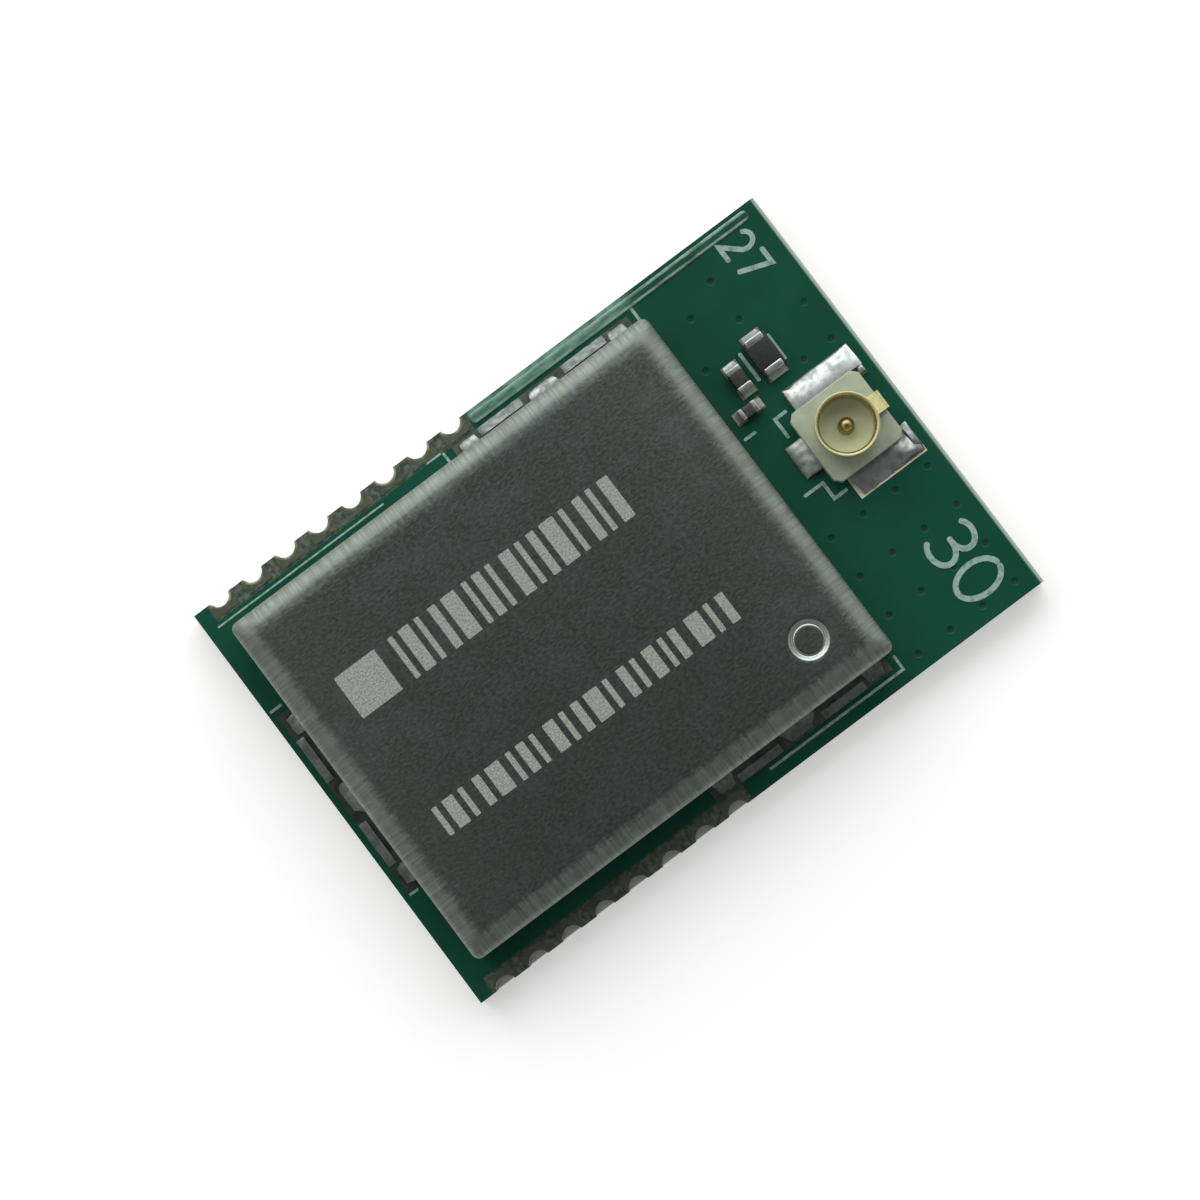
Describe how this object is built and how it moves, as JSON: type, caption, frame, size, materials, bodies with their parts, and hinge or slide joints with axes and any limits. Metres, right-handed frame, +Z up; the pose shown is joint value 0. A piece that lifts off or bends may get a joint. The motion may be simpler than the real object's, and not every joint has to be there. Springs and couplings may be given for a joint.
{
  "type": "radio module",
  "caption": "Flat circuit module with half-hole edge contacts, a soldered sheet-metal shield can over the radio circuit and a push-on coaxial aerial receptacle on its bare end",
  "frame": {"origin": "middle of the board's underside", "axes": "+X runs along the board from the contact end to the receptacle end, +Y to the rear row of contacts, +Z up through the shield can"},
  "size_m": [0.0216, 0.0148, 0.003],
  "materials": {
    "solder_mask": "glass-fibre board under dark green solder mask with pale printed marks",
    "contact_gold": "thin gold over nickel on copper, slightly dull",
    "can_sheet": "thin tinned nickel silver sheet, satin with a fine rolled grain",
    "solder": "bright reflowed solder",
    "cream_polymer": "moulded heat-proof polymer, cream",
    "receptacle_gold": "pressed phosphor bronze plated with bright gold",
    "chip_black": "black moulded resin or glaze",
    "chip_ceramic": "fired brown ceramic",
    "chip_grey": "fired grey ceramic",
    "tinned_caps": "tin plate over nickel"
  },
  "bodies": {
    "root": {"circuit_board": "solder_mask", "rear_contact_1": "contact_gold", "rear_contact_2": "contact_gold", "rear_contact_3": "contact_gold", "rear_contact_4": "contact_gold", "rear_contact_5": "contact_gold", "rear_contact_6": "contact_gold", "rear_contact_7": "contact_gold", "rear_contact_8": "contact_gold", "front_contact_1": "contact_gold", "front_contact_2": "contact_gold", "front_contact_3": "contact_gold", "front_contact_4": "contact_gold", "front_contact_5": "contact_gold", "front_contact_6": "contact_gold", "front_contact_7": "contact_gold", "front_contact_8": "contact_gold", "shield_land_rear": "contact_gold", "shield_land_front": "contact_gold", "shield_land_left": "contact_gold", "shield_can": "can_sheet", "shield_solder_rear": "solder", "shield_solder_front": "solder", "shield_solder_left": "solder", "ground_land_rear": "contact_gold", "ground_land_front": "contact_gold", "signal_land": "contact_gold", "chip_lands": "contact_gold", "receptacle_housing": "cream_polymer", "receptacle_shell": "receptacle_gold", "receptacle_contact": "receptacle_gold", "ground_solder_rear": "solder", "ground_solder_front": "solder", "signal_solder": "solder", "chip_solder": "solder", "link_chip_body": "chip_black", "shunt_chip_body": "chip_ceramic", "series_chip_body": "chip_grey", "link_chip_caps": "tinned_caps", "shunt_chip_caps": "tinned_caps", "series_chip_caps": "tinned_caps", "transceiver_body": "chip_black", "transceiver_leads": "tinned_caps", "crystal_base": "chip_ceramic", "crystal_lid": "can_sheet", "switch_body": "chip_black", "switch_leads": "tinned_caps", "filter_inductor_1": "chip_grey", "filter_inductor_2": "chip_grey", "filter_inductor_3": "chip_grey", "filter_capacitor_1": "chip_ceramic", "filter_capacitor_2": "chip_ceramic", "filter_capacitor_3": "chip_ceramic", "filter_capacitor_4": "chip_ceramic", "supply_capacitor_1": "chip_ceramic", "supply_capacitor_2": "chip_ceramic", "load_capacitor_1": "chip_ceramic", "load_capacitor_2": "chip_ceramic"}
  },
  "joints": []
}
